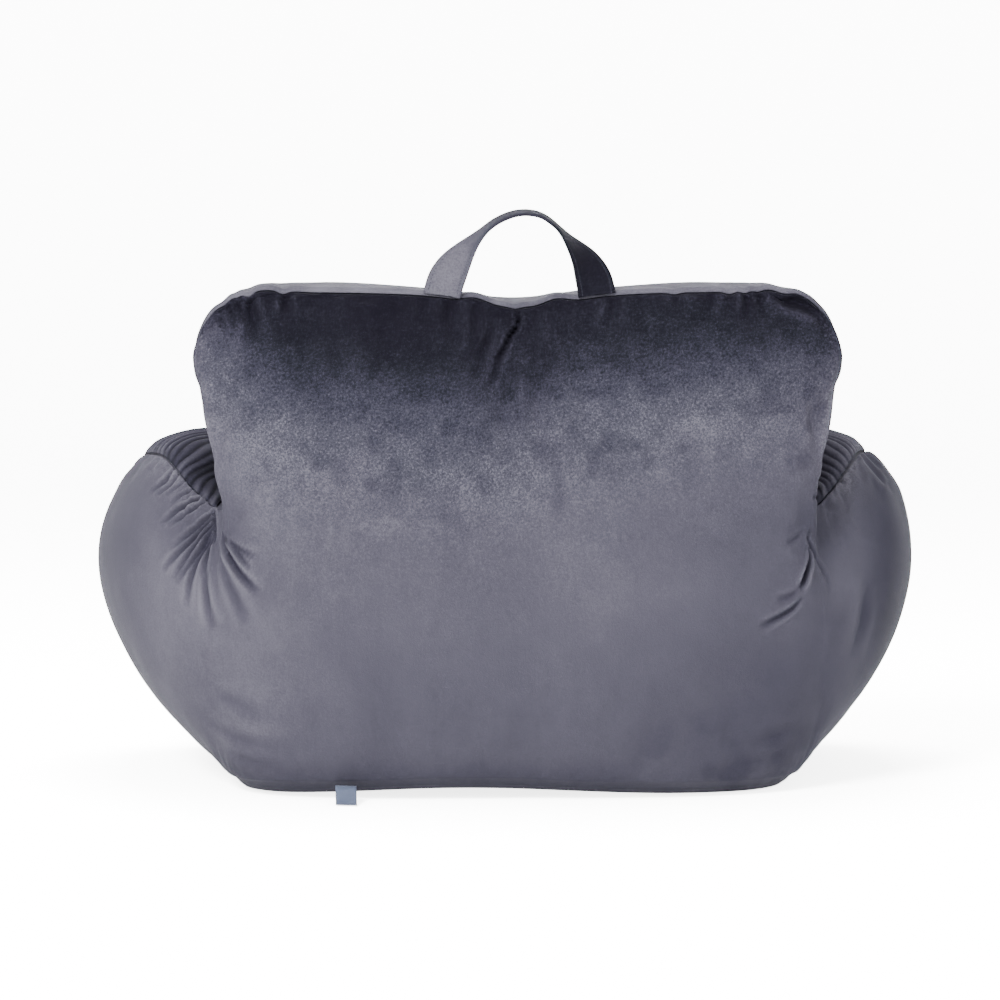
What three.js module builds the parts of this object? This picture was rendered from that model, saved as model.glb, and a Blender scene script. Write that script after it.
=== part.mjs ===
// A back cushion with two arms and a carrying handle: one stuffed velvet bag that stands on
// its base, with gathered gussets let in over the arms, a plain gusset over the back's top,
// a strap handle sewn into the top seam and a blank satin tab sewn into the base seam.
//
// Millimetres, +Z up. The origin is on the floor, under the middle of the whole outline. +Y is
// the way the cushion faces and its arms point, and +X is to the right of someone behind it.
import * as THREE from "three";

// Driving dimensions
const seamRise = 15; // the seam round the base, above the floor
const baseFlat = 0.67; // share of the base's width that lies flat on the floor
const rimSteepness = 0.58; // share of the base's width in which its rim would turn right up
const fullPower = 0.7; // how blunt a stuffed panel is: 0.5 would be an ellipse, 1 a parabola
const rollFrom = 0.6; // share of a panel's height above which it hangs out over its seam
const seamDraw = 2.5; // how far stitching draws a gusset's seam into the filling
const clothGap = 0.65; // between the filled bag and a gusset lying on it
const pieceGap = 0.8; // between two pieces that are sewn to each other
const gussetThick = 1.8;
const gussetCut = 0.955; // share of the bed's width that a gusset covers, short of its seams
const pleatHeight = 2.8;
const pleatFade = 0.25; // share that a pleat loses from the middle of its gusset to the front seam
const strapWidth = 36;
const strapThick = 4;
const tabWidth = 20;
const tabLength = 31;
const tabThick = 1;
const tabMiddle = -166; // how far the tab is from the middle, along the base seam

// The bag is lofted through stations, each a closed section that runs up the back panel, over
// the gusset, down the front panel and under the base. "top" is the middle of the gusset and
// "foot" the middle of the base. A turn of 0 faces straight back and 90 straight out sideways.
// Half widths are of the gusset and the base. The swells are how far the back and the front
// panel stand out between their seams, crown how far the gusset domes, roll how far a panel
// hangs out over its upper seam, and lean how far the back seam is above the gusset's middle.
const stationColumns = [
  "topX", "topY", "topZ", "footX", "footY", "topTurn", "footTurn",
  "gussetHalf", "baseHalf", "backSwell", "frontSwell", "crown", "roll", "lean",
];
const stationRows = {
  middle: [0, -112, 471, 0, -108, 0, 0, 74, 99, 28, 24, 9, 0, 0],
  hump: [90, -112, 482, 62, -108, 0, 0, 74, 99, 29, 25, 10, 0, 0],
  shoulder: [190, -112, 484, 126, -106, 0, 8, 74, 97, 28, 23, 10, 1, 0],
  corner: [270, -112, 471, 165, -100, 0, 20, 72, 95, 27, 20, 12, 4, 0],
  cornerSide: [298, -112, 433, 192, -91, 0, 29, 70, 94, 26, 18, 15, 7, 0],
  side: [296, -111, 380, 208, -79, 0, 36, 68, 90, 28, 16, 16, 8, 0],
  sideLow: [287, -108, 327, 218, -64, 2, 42, 66, 84, 34, 14, 13, 6, 0],
  crook: [282, -98, 281, 223, -47, 4, 47, 61, 76, 48, 12, 5, 2, 0],
  armRise: [295, -69, 292, 226, -24, 20, 55, 50, 65, 66, 12, 7, 2, 7],
  armBack: [298, -21, 308, 229, 13, 51, 74, 50, 54, 82, 14, 12, 2, 13],
  armTop: [288, 58, 323, 230, 63, 80, 86, 65, 52, 87, 18, 18, 2, 4],
  armNose: [293, 136, 295, 231, 109, 88, 90, 66, 51, 82, 18, 20, 2, 0],
  nose: [293, 186, 236, 231, 140, 92, 93, 63, 50, 68, 16, 21, 2, 0],
  front: [283, 204, 160, 230, 160, 95, 96, 57, 48, 47, 12, 19, 2, 0],
  toe: [262, 207, 90, 228, 173, 98, 98, 48, 43, 26, 9, 14, 1, 0],
  toeEnd: [236, 190, 27, 224, 180, 98, 98, 38, 36, 3, 2, 5, 0, 0],
};

// The strap's middle line over the back seam, as distances from the middle and heights
const strapPath = [
  [-73, 0], [-68, 19], [-55, 42], [-41, 57], [-24, 72], [3, 80],
  [31, 72], [48, 57], [59, 42], [71, 19], [75, 0],
];

// Steps of the section, panel by panel, starting and ending under the middle of the base
const sectionSteps = [
  { panel: "base", steps: 3, from: 0, to: 1 },
  { panel: "back", steps: 11, from: 0, to: 1 },
  { panel: "gusset", steps: 6, from: 1, to: -1 },
  { panel: "front", steps: 10, from: 1, to: 0 },
  { panel: "base", steps: 3, from: -1, to: 0 },
];
const stepsPerRow = 3; // stations lofted between two rows of the table
const strapSteps = 40;
const pleatSteps = 3; // rows of a gathered gusset between two stations of the bag
const plainSteps = 2; // rows of the plain gusset between two stations of the bag
const crookSteps = { top: 3, arm: 5 }; // how far short of the crook the gussets stop

const mirrored = ["topX", "footX", "topTurn", "footTurn"];

function readStations() {
  const half = Object.values(stationRows).map((row) =>
    Object.fromEntries(stationColumns.map((name, i) => [name, row[i]])),
  );
  const other = half.slice(1).map((row) => {
    const flipped = { ...row };
    for (const name of mirrored) flipped[name] = -row[name];
    return flipped;
  });
  return [...other.reverse(), ...half];
}

const stations = readStations();
const lastStation = stations.length - 1;
const stationNames = Object.keys(stationRows);

// The values at any place along the loft, by a Catmull-Rom spline through the rows
function stationAt(along) {
  const place = THREE.MathUtils.clamp(along, 0, 1) * lastStation;
  const i = Math.min(Math.floor(place), lastStation - 1);
  const t = place - i;
  const row = (k) => stations[THREE.MathUtils.clamp(k, 0, lastStation)];
  const values = {};
  for (const name of stationColumns) {
    const [a, b, c, d] = [row(i - 1)[name], row(i)[name], row(i + 1)[name], row(i + 2)[name]];
    values[name] =
      b + 0.5 * t * (c - a + t * (2 * a - 5 * b + 4 * c - d + t * (3 * (b - c) + d - a)));
  }
  return values;
}

function facing(turn) {
  const angle = THREE.MathUtils.degToRad(turn);
  return new THREE.Vector3(Math.sin(angle), -Math.cos(angle), 0);
}

function topOf(along) {
  const s = stationAt(along);
  return new THREE.Vector3(s.topX, s.topY, s.topZ);
}

// The way out of the bag at its top edge: square to the edge and to the panels' facing
function outwardAt(along) {
  const small = 0.002;
  const tangent = topOf(along + small).sub(topOf(along - small));
  return tangent.cross(facing(stationAt(along).topTurn)).normalize().negate();
}

// How full a panel is between its lower seam (0) and its upper one (1)
function fullness(height) {
  return (1 - (2 * height - 1) ** 2) ** fullPower;
}

// A point of a side panel. side is 1 on the back and outer panel and -1 on the front one.
function panelPoint(along, side, height) {
  const s = stationAt(along);
  const foot = new THREE.Vector3(s.footX, s.footY, seamRise);
  const middle = foot.lerp(new THREE.Vector3(s.topX, s.topY, s.topZ), height);
  const turn = THREE.MathUtils.lerp(s.footTurn, s.topTurn, height);
  const halfWidth = THREE.MathUtils.lerp(s.baseHalf, s.gussetHalf, height);
  const swell = side > 0 ? s.backSwell : s.frontSwell;
  middle.addScaledVector(facing(turn), side * (halfWidth + swell * fullness(height)));
  middle.z += side * s.lean * height;
  const rolled = s.roll * Math.sin(Math.PI * THREE.MathUtils.smoothstep(height, rollFrom, 1));
  return middle.addScaledVector(outwardAt(along), height === 1 ? -seamDraw : rolled);
}

// A point of the gusset's bed. across runs from 1 at the back seam to -1 at the front one.
function gussetPoint(along, across) {
  const s = stationAt(along);
  const dome = s.crown * (1 - across ** 2) - seamDraw;
  return topOf(along)
    .addScaledVector(facing(s.topTurn), across * s.gussetHalf)
    .add(new THREE.Vector3(0, 0, across * s.lean))
    .addScaledVector(outwardAt(along), dome);
}

// A point of the base, which is flat on the floor but for its turned-up rims
function basePoint(along, across) {
  const s = stationAt(along);
  const rim = THREE.MathUtils.smoothstep(Math.abs(across), baseFlat, baseFlat + rimSteepness);
  const rise = seamRise * Math.min(2 * rim, 1);
  return new THREE.Vector3(s.footX, s.footY, rise).addScaledVector(
    facing(s.footTurn),
    across * s.baseHalf,
  );
}

const panels = {
  base: (along, place) => basePoint(along, place),
  back: (along, place) => panelPoint(along, 1, place),
  gusset: (along, place) => gussetPoint(along, place),
  front: (along, place) => panelPoint(along, -1, place),
};

const sectionPlaces = sectionSteps.flatMap(({ panel, steps, from, to }) =>
  Array.from({ length: steps }, (_, i) => ({
    panel,
    place: THREE.MathUtils.lerp(from, to, i / steps),
  })),
);

// Moves every vertex of a stock geometry to where place(u, v, w) says
function shaped(geometry, coordinates, place) {
  const position = geometry.getAttribute("position");
  for (let i = 0; i < position.count; i += 1) {
    const point = place(...coordinates(geometry, i));
    position.setXYZ(i, point.x, point.y, point.z);
  }
  geometry.deleteAttribute("uv");
  geometry.computeVertexNormals();
  return geometry;
}

const sphereCoordinates = (geometry, i) => {
  const uv = geometry.getAttribute("uv");
  return [uv.getX(i), uv.getY(i)];
};
const boxCoordinates = (geometry, i) => {
  const position = geometry.getAttribute("position");
  return [position.getX(i), position.getY(i), position.getZ(i)];
};

const alongSteps = lastStation * stepsPerRow;

// The loft's step that is a named row of the table, on the right (1) or the left (-1)
function stepOf(name, side) {
  return alongSteps / 2 + side * stationNames.indexOf(name) * stepsPerRow;
}

// Splits the quads of a sphere's lower half along their other diagonal, so that the loft's right
// half mirrors its left one. Rows at the poles are single triangles and stay as they are.
function mirrorSplits(geometry, around, rows) {
  const index = geometry.getIndex();
  for (let row = rows / 2; row < rows - 1; row += 1) {
    for (let column = 0; column < around; column += 1) {
      const first = 3 * (around + 2 * ((row - 1) * around + column));
      const [a, b, d, , c] = Array.from(index.array.slice(first, first + 6));
      [a, b, c, a, c, d].forEach((corner, i) => index.setX(first + i, corner));
    }
  }
}

// The filled bag: a sphere's grid whose two poles are the arms' toes
function bagGeometry() {
  const around = sectionPlaces.length;
  const sphere = new THREE.SphereGeometry(1, around, alongSteps);
  mirrorSplits(sphere, around, alongSteps);
  const toe = (along) => basePoint(along, 0).lerp(gussetPoint(along, 0), 0.5);
  const place = (u, v) => {
    const row = Math.round((1 - v) * alongSteps);
    if (row === 0 || row === alongSteps) return toe(row / alongSteps);
    const { panel, place: spot } = sectionPlaces[Math.round(u * around) % around];
    return panels[panel](row / alongSteps, spot);
  };
  return shaped(sphere, sphereCoordinates, place);
}

// The way out of the gusset's bed at a point of it
function bedNormal(along, across) {
  const small = 0.002;
  const lengthwise = gussetPoint(along + small, across).sub(gussetPoint(along - small, across));
  const crosswise = gussetPoint(along, across + small).sub(gussetPoint(along, across - small));
  return lengthwise.cross(crosswise).normalize().negate();
}

// A sheet of cloth over the bag's bed between two of the loft's steps. rows are the sheet's rows
// in one step, and raised says how high its face stands at a row.
function gussetGeometry(first, last, rows, raised) {
  const across = sectionSteps.find((step) => step.panel === "gusset").steps;
  const lengthSteps = (last - first) * rows;
  const lifted = (step, spot, lift) => {
    const along = step / alongSteps;
    return gussetPoint(along, spot).addScaledVector(bedNormal(along, spot), lift);
  };
  const place = (x, y, z) => {
    const row = Math.round((y + 0.5) * lengthSteps);
    const below = Math.min(first + Math.floor(row / rows), last - 1);
    const spot = 2 * x * gussetCut;
    const lift = clothGap + (z > 0 ? gussetThick + raised(row, spot) : 0);
    const part = first + row / rows - below;
    return lifted(below, spot, lift).lerp(lifted(below + 1, spot, lift), part);
  };
  const box = new THREE.BoxGeometry(1, 1, 1, across, lengthSteps, 1);
  return shaped(box, boxCoordinates, place);
}

// Gathers: every other row stands up, less so towards the front seam, and not at the seams
function gathered(row, spot) {
  const ridge = row % 2;
  return ridge * pleatHeight * (1 - pleatFade + pleatFade * spot) * (1 - Math.abs(spot) ** 6);
}

// Where along the loft a seam of the back panel is at a given distance from the middle
function alongAt(distance, height) {
  let [low, high] = [0, 1];
  for (let i = 0; i < 40; i += 1) {
    const half = (low + high) / 2;
    if (panelPoint(half, 1, height).x < distance) low = half;
    else high = half;
  }
  return (low + high) / 2;
}

// A strap whose ends are flat along the seam and whose top is turned edge on to them
function strapGeometry() {
  const arch = new THREE.CatmullRomCurve3(
    strapPath.map(([x, z]) => new THREE.Vector3(x, 0, z)),
    false,
    "centripetal",
  );
  const strapRise = Math.max(...strapPath.map(([, z]) => z));
  const seamLine = (x) => gussetPoint(alongAt(x, 1), 1);
  const seamHeight = seamLine(strapPath[0][0]).z;
  const place = (x, y, z) => {
    const t = x + 0.5;
    const point = arch.getPoint(t);
    const tangent = arch.getTangent(t);
    const turned = 0.5 * Math.PI * THREE.MathUtils.smoothstep(point.z / strapRise, 0, 1);
    const outward = new THREE.Vector3(-tangent.z, 0, tangent.x);
    const backward = new THREE.Vector3(0, Math.sin(turned), 0);
    const widthways = outward.multiplyScalar(Math.cos(turned)).add(backward);
    const thickways = tangent.cross(widthways);
    point.addScaledVector(widthways, y * strapWidth).addScaledVector(thickways, z * strapThick);
    const seam = seamLine(point.x);
    const sewn = t === 0 || t === 1;
    point.z = pieceGap + (sewn ? seam.z : seamHeight + point.z);
    point.y += seam.y;
    return point;
  };
  const box = new THREE.BoxGeometry(1, 1, 1, strapSteps, 4, 1);
  return shaped(box, boxCoordinates, place);
}

// A blank tab that leaves the base seam and bends down until its end lies on the floor
function tabGeometry() {
  const steps = 6;
  const drop = seamRise - tabThick / 2 - pieceGap / 2;
  const place = (x, y, z) => {
    const out = x + 0.5;
    const fall = THREE.MathUtils.smoothstep(out, 0, 1.1) * drop;
    const root = panelPoint(alongAt(tabMiddle + y * tabWidth, 0), 1, 0);
    const reach = new THREE.Vector3(0, -pieceGap - out * tabLength, z * tabThick - fall);
    return root.add(reach);
  };
  const box = new THREE.BoxGeometry(1, 1, 1, steps, 2, 1);
  return shaped(box, boxCoordinates, place);
}

const velvet = new THREE.MeshStandardMaterial({ color: 0x6f6e7a, roughness: 0.95, metalness: 0 });
const satin = new THREE.MeshStandardMaterial({ color: 0x8f9cb4, roughness: 0.45, metalness: 0 });

const group = new THREE.Group();

function add(name, geometry, material) {
  const mesh = new THREE.Mesh(geometry, material);
  mesh.name = name;
  group.add(mesh);
}

add("cushion", bagGeometry(), velvet);
const [leftCrook, rightCrook] = [stepOf("crook", -1), stepOf("crook", 1)];
const leftArm = [stepOf("toe", -1), leftCrook - crookSteps.arm];
const rightArm = [rightCrook + crookSteps.arm, stepOf("toe", 1)];
const top = [leftCrook + crookSteps.top, rightCrook - crookSteps.top];
add("top_gusset", gussetGeometry(...top, plainSteps, () => 0), velvet);
add("arm_gusset_left", gussetGeometry(...leftArm, pleatSteps, gathered), velvet);
add("arm_gusset_right", gussetGeometry(...rightArm, pleatSteps, gathered), velvet);
add("handle", strapGeometry(), velvet);
add("tab", tabGeometry(), satin);

const outline = new THREE.Box3().setFromObject(group, true);
const middle = outline.getCenter(new THREE.Vector3());
for (const mesh of group.children) {
  mesh.geometry.translate(-middle.x, -middle.y, -outline.min.z);
}

export default group;
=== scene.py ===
# Back cushion with arms: a stuffed velvet bag, gathered gussets, a strap handle and a bare tab
import bpy
import math
import numpy as np
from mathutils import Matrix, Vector


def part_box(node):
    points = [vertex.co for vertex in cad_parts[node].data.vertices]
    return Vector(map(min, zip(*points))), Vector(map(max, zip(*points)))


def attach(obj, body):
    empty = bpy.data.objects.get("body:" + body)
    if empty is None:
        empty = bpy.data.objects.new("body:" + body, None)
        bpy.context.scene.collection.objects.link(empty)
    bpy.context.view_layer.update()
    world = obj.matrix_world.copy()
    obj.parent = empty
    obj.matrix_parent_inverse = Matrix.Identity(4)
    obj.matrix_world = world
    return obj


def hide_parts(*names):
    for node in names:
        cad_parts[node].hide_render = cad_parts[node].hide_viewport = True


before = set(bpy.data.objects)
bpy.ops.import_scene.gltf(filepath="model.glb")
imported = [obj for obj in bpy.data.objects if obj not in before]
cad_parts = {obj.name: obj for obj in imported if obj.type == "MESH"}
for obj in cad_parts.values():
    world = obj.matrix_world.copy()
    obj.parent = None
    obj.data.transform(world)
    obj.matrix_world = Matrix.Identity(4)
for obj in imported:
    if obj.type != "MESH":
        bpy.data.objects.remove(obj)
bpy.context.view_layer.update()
print("frame loaded")

mm = 0.001


# small helpers for grids of points

def smooth(x, low, high):
    t = np.clip((x - low) / (high - low), 0, 1)
    return t * t * (3 - 2 * t)


def unit(v):
    return v / np.maximum(np.linalg.norm(v, axis=-1, keepdims=True), 1e-9)


def gridNoise(shape, cells, seed):
    # smooth noise from -1 to 1 over a grid, cells are how many lumps fit along each side
    rng = np.random.RandomState(seed)
    values = rng.uniform(-1, 1, (int(cells[0]) + 4, int(cells[1]) + 4))
    u = np.linspace(0, cells[0], shape[0])
    v = np.linspace(0, cells[1], shape[1])
    iu, iv = np.floor(u).astype(int), np.floor(v).astype(int)
    fu, fv = (u - iu), (v - iv)

    def weights(t):
        return [((1 - t) ** 3) / 6, (3 * t ** 3 - 6 * t ** 2 + 4) / 6,
                (-3 * t ** 3 + 3 * t ** 2 + 3 * t + 1) / 6, t ** 3 / 6]

    wu, wv = weights(fu), weights(fv)
    total = np.zeros(shape)
    for a in range(4):
        for b in range(4):
            total += wu[a][:, None] * wv[b][None, :] * values[iu + a][:, iv + b]
    return total * 2


def pointNoise(points, size, seed):
    # the same kind of noise at any points of space, size is the length of a lump
    rng = np.random.RandomState(seed)
    table = rng.uniform(-1, 1, (32, 32, 32))
    p = points / size + 100
    i = np.floor(p).astype(int)
    f = p - i
    f = f * f * (3 - 2 * f)
    total = 0
    for dx in (0, 1):
        for dy in (0, 1):
            for dz in (0, 1):
                w = ((f[..., 0] if dx else 1 - f[..., 0]) * (f[..., 1] if dy else 1 - f[..., 1])
                     * (f[..., 2] if dz else 1 - f[..., 2]))
                at = tuple((i[..., axis] + step) % 32 for axis, step in enumerate((dx, dy, dz)))
                total = total + w * table[at]
    return total


def gridNormals(points, closed):
    # a closed grid's last column joins its first
    lengthwise = np.gradient(points, axis=0)
    if closed:
        crosswise = (np.roll(points, -1, axis=1) - np.roll(points, 1, axis=1)) / 2
    else:
        crosswise = np.gradient(points, axis=1)
    return unit(np.cross(lengthwise, crosswise))


def meshObject(name, points, faces):
    mesh = bpy.data.meshes.new(name)
    mesh.from_pydata([tuple(p) for p in points.reshape(-1, 3)], [], faces)
    mesh.update()
    piece = bpy.data.objects.new(name, mesh)
    bpy.context.scene.collection.objects.link(piece)
    for polygon in mesh.polygons:
        polygon.use_smooth = True
    return piece


def addFloats(piece, name, values):
    layer = piece.data.attributes.new(name, "FLOAT", "POINT")
    layer.data.foreach_set("value", np.asarray(values, dtype=np.float32).ravel())


# the bag's loft, row by row as the solid has it

bag = dict(
    seamRise=15, baseFlat=0.67, rimSteepness=0.58, fullPower=0.7, rollFrom=0.6, rollLate=1.7,
    seamDraw=2.5, rightSlope=0.4,
)
stationColumns = ["topX", "topY", "topZ", "footX", "footY", "topTurn", "footTurn", "gussetHalf",
                  "baseHalf", "backSwell", "frontSwell", "crown", "roll", "lean"]
stationRows = dict(
    middle=[0, -112, 471, 0, -108, 0, 0, 74, 99, 28, 24, 9, 0, 0],
    hump=[90, -112, 482, 62, -108, 0, 0, 74, 99, 29, 25, 10, 0, 0],
    shoulder=[190, -112, 484, 126, -106, 0, 8, 74, 97, 28, 23, 10, 1, 0],
    corner=[270, -112, 471, 165, -100, 0, 20, 72, 95, 27, 20, 12, 4, 0],
    cornerSide=[298, -112, 433, 192, -91, 0, 29, 70, 94, 26, 18, 15, 7, 0],
    side=[296, -111, 380, 208, -79, 0, 36, 68, 90, 28, 16, 16, 8, 0],
    sideLow=[287, -108, 327, 218, -64, 2, 42, 66, 84, 34, 14, 13, 6, 0],
    crook=[282, -98, 281, 223, -47, 4, 47, 61, 76, 48, 12, 5, 2, 0],
    armRise=[295, -69, 292, 226, -24, 20, 55, 50, 65, 66, 12, 7, 2, 7],
    armBack=[298, -21, 308, 229, 13, 51, 74, 50, 54, 82, 14, 12, 2, 13],
    armTop=[288, 58, 323, 230, 63, 80, 86, 65, 52, 87, 18, 18, 2, 4],
    armNose=[293, 136, 295, 231, 109, 88, 90, 66, 51, 82, 18, 20, 2, 0],
    nose=[293, 186, 236, 231, 140, 92, 93, 63, 50, 68, 16, 21, 2, 0],
    front=[283, 204, 160, 230, 160, 95, 96, 57, 48, 47, 12, 19, 2, 0],
    toe=[262, 207, 90, 228, 173, 98, 98, 48, 43, 26, 9, 14, 1, 0],
    toeEnd=[236, 190, 27, 224, 180, 98, 98, 38, 36, 3, 2, 5, 0, 0],
)
stationNames = list(stationRows)


def mirroredStations():
    half = np.array([stationRows[name] for name in stationNames], dtype=float)
    other = half[:0:-1].copy()
    for name in ("topX", "footX", "topTurn", "footTurn"):
        other[:, stationColumns.index(name)] *= -1
    half[:, stationColumns.index("slope")] *= bag["rightSlope"]  # the right arm is rounder
    return np.vstack([other, half])


# the cloth isn't quite the solid: it flares out at the backrest's rear corners, is narrower above
# the crooks, and its arms slope up to wider gussets
stationColumns += ["flare", "slope"]
clothRows = dict(
    middle=dict(topZ=475, crown=4), hump=dict(topZ=486, crown=3),
    shoulder=dict(topZ=489, crown=4, roll=3),
    corner=dict(topX=264, topZ=480, roll=7, crown=5, flare=8),
    cornerSide=dict(topX=296, topZ=437, roll=8, crown=-2, flare=12),
    side=dict(topX=286, roll=6, crown=-1, flare=7), sideLow=dict(topX=278, roll=4, crown=3, flare=3),
    crook=dict(roll=1, topX=277), armRise=dict(topX=293, topZ=289, crown=12, slope=0.1),
    armBack=dict(topX=298, topZ=311, gussetHalf=55, crown=22, slope=0.3, backSwell=78),
    armTop=dict(topX=291, topZ=316, gussetHalf=76, crown=26, slope=0.4, backSwell=80),
    armNose=dict(topX=295, topZ=294, gussetHalf=71, crown=22, slope=0.3, backSwell=76),
    nose=dict(slope=0.1, backSwell=63), front=dict(backSwell=43), toe=dict(backSwell=23),
)
for row in stationRows.values():
    row += [0, 0]
for name, values in clothRows.items():
    for column, value in values.items():
        stationRows[name][stationColumns.index(column)] = value

stations = mirroredStations()
lastStation = len(stations) - 1


def alongOf(name, side, part=0.0):
    # part is how far on towards the next row of the table, outwards
    return 0.5 + 0.5 * side * (stationNames.index(name) + part) / (len(stationNames) - 1)


def stationAt(along):
    place = np.clip(along, 0, 1) * lastStation
    i = np.minimum(np.floor(place).astype(int), lastStation - 1)
    t = (place - i)[:, None]
    a, b, c, d = [stations[np.clip(i + k, 0, lastStation)] for k in (-1, 0, 1, 2)]
    values = b + 0.5 * t * (c - a + t * (2 * a - 5 * b + 4 * c - d + t * (3 * (b - c) + d - a)))
    return {name: values[:, k][:, None] for k, name in enumerate(stationColumns)}


def facing(turn):
    # the level direction that the back panel faces, 0 is straight back
    angle = np.radians(turn)
    return np.stack([np.sin(angle), -np.cos(angle), np.zeros_like(angle)], axis=-1)


def vectors(x, y, z):
    x, y, z = np.broadcast_arrays(x, y, z)
    return np.stack([x, y, z], axis=-1)


def topOf(along):
    s = stationAt(along)
    return vectors(s["topX"], s["topY"], s["topZ"])


def outwardAt(along):
    # away from the bag, square to the top line
    tangent = topOf(along + 0.002) - topOf(along - 0.002)
    return -unit(np.cross(tangent, facing(stationAt(along)["topTurn"])))


def panelPoints(along, side, height):
    # side is 1 for the back panel and -1 for the front, height runs from the base seam, 0, to the top, 1
    s = stationAt(along)
    h = height[None, :]
    foot = vectors(s["footX"], s["footY"], bag["seamRise"] + 0 * s["footX"])
    middle = foot + (topOf(along) - foot) * h[..., None]
    turn = s["footTurn"] + (s["topTurn"] - s["footTurn"]) * h
    halfWidth = s["baseHalf"] + (s["gussetHalf"] - s["baseHalf"]) * h
    swell = s["backSwell"] if side > 0 else s["frontSwell"]
    full = (1 - (2 * h - 1) ** 2) ** (bag["fullPower"] + s["slope"] * smooth(h, 0.5, 1))
    middle = middle + facing(turn) * (side * (halfWidth + swell * full))[..., None]
    middle[..., 2] += side * s["lean"] * h
    rolled = s["roll"] * np.sin(math.pi * smooth(h, bag["rollFrom"], 1) ** bag["rollLate"])
    drawn = -bag["seamDraw"] * smooth(h, 0.985, 1.0)
    flared = s["flare"] * side * smooth(h, 0.72, 1)
    return middle + outwardAt(along) * (rolled + drawn + flared)[..., None]


def gussetPoints(along, across):
    s = stationAt(along)
    c = across[None, :]
    dome = s["crown"] * (1 - c ** 2) - bag["seamDraw"] + s["flare"] * c
    point = topOf(along) + facing(s["topTurn"]) * (c * s["gussetHalf"])[..., None]
    point[..., 2] += c * s["lean"]
    return point + outwardAt(along) * dome[..., None]


def basePoints(along, across):
    s = stationAt(along)
    c = across[None, :]
    flat = bag["baseFlat"]
    rise = bag["seamRise"] * np.minimum(2 * smooth(np.abs(c), flat, flat + bag["rimSteepness"]), 1)
    point = vectors(s["footX"], s["footY"], rise)
    return point + facing(s["footTurn"]) * (c * s["baseHalf"])[..., None]


# the bag's fine grid, its points crowding towards the seams and its rows where folds are

bagMesh = dict(
    rowsBetween=[30, 30, 30, 22, 22, 24, 30, 42, 44, 38, 28, 16, 14, 12, 12],
    back=216, bed=24, front=66, base=12, arch=9, archAt=-55, archReach=150,
)


def crowded(count, pull):
    # places from 0 to 1 that stand closer together near both ends
    t = np.linspace(0, 1, count + 1)
    return t - pull * np.sin(2 * math.pi * t) / (2 * math.pi)


def bagRows():
    half = [k + j / n for k, n in enumerate(bagMesh["rowsBetween"]) for j in range(n)]
    half = np.array(half + [len(bagMesh["rowsBetween"])]) / len(bagMesh["rowsBetween"])
    return np.concatenate([0.5 - 0.5 * half[:0:-1], 0.5 + 0.5 * half])


sectionParts = [
    ("base", np.linspace(0, 1, bagMesh["base"] + 1)[:-1], basePoints),
    ("back", crowded(bagMesh["back"], 0.75)[:-1], lambda a, p: panelPoints(a, 1, p)),
    ("bed", 1 - 2 * crowded(bagMesh["bed"], 0.7)[:-1], gussetPoints),
    ("front", 1 - crowded(bagMesh["front"], 0.7)[:-1], lambda a, p: panelPoints(a, -1, p)),
    ("base", np.linspace(-1, 0, bagMesh["base"] + 1)[:-1], basePoints),
]


along = bagRows()
skin = np.concatenate([points(along, places) for name, places, points in sectionParts], axis=1)
part = np.concatenate([[name] * len(places) for name, places, points in sectionParts])
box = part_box("cushion")
shift = np.array([0, box[0][1] / mm - skin[..., 1].min(), 0])
skin = skin + shift

# the base's rear edge doesn't lie on the floor all along, its middle stands a little clear
arch = np.exp(-((skin[..., 0] - bagMesh["archAt"]) / bagMesh["archReach"]) ** 2)
rear, low = smooth(-skin[..., 1], 60, 180), 1 - smooth(skin[..., 2], 0, 70)
skin[..., 2] += bagMesh["arch"] * arch * rear * low
skinNormals = gridNormals(skin, True)
print("bag lofted,", skin.shape[0] * skin.shape[1], "points")


# how far a point is from the seams of its own panel, in mm along the section

steps = np.linalg.norm(np.roll(skin, -1, axis=1) - skin, axis=-1)
runs = np.concatenate([np.zeros((len(skin), 1)), np.cumsum(steps, axis=1)], axis=1)


def fromSeam(name, end):
    columnsOf = np.flatnonzero(part == name)
    first, last = columnsOf[0], columnsOf[-1] + 1
    distance = np.full(skin.shape[:2], 1e3)
    if end == "first":
        distance[:, first:last] = runs[:, first:last] - runs[:, [first]]
    else:
        distance[:, first:last] = runs[:, [last]] - runs[:, first:last]
    return distance


topSeam = np.minimum(fromSeam("back", "last"), fromSeam("front", "first"))
bedSeam = np.minimum(fromSeam("bed", "last"), fromSeam("bed", "first"))
baseSeam = np.minimum(fromSeam("back", "first"), fromSeam("front", "last"))
isPanel = ((part == "back") | (part == "front"))[None, :]

relief = dict(seamDepth=3.0, seamReach=3.0, pucker=1.3, puckerPitch=17, puckerReach=16,
              sag=2.2, sagSize=130, ripple=0.7, rippleSize=38, ridge=0.45, foldScale=1.45)
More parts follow.
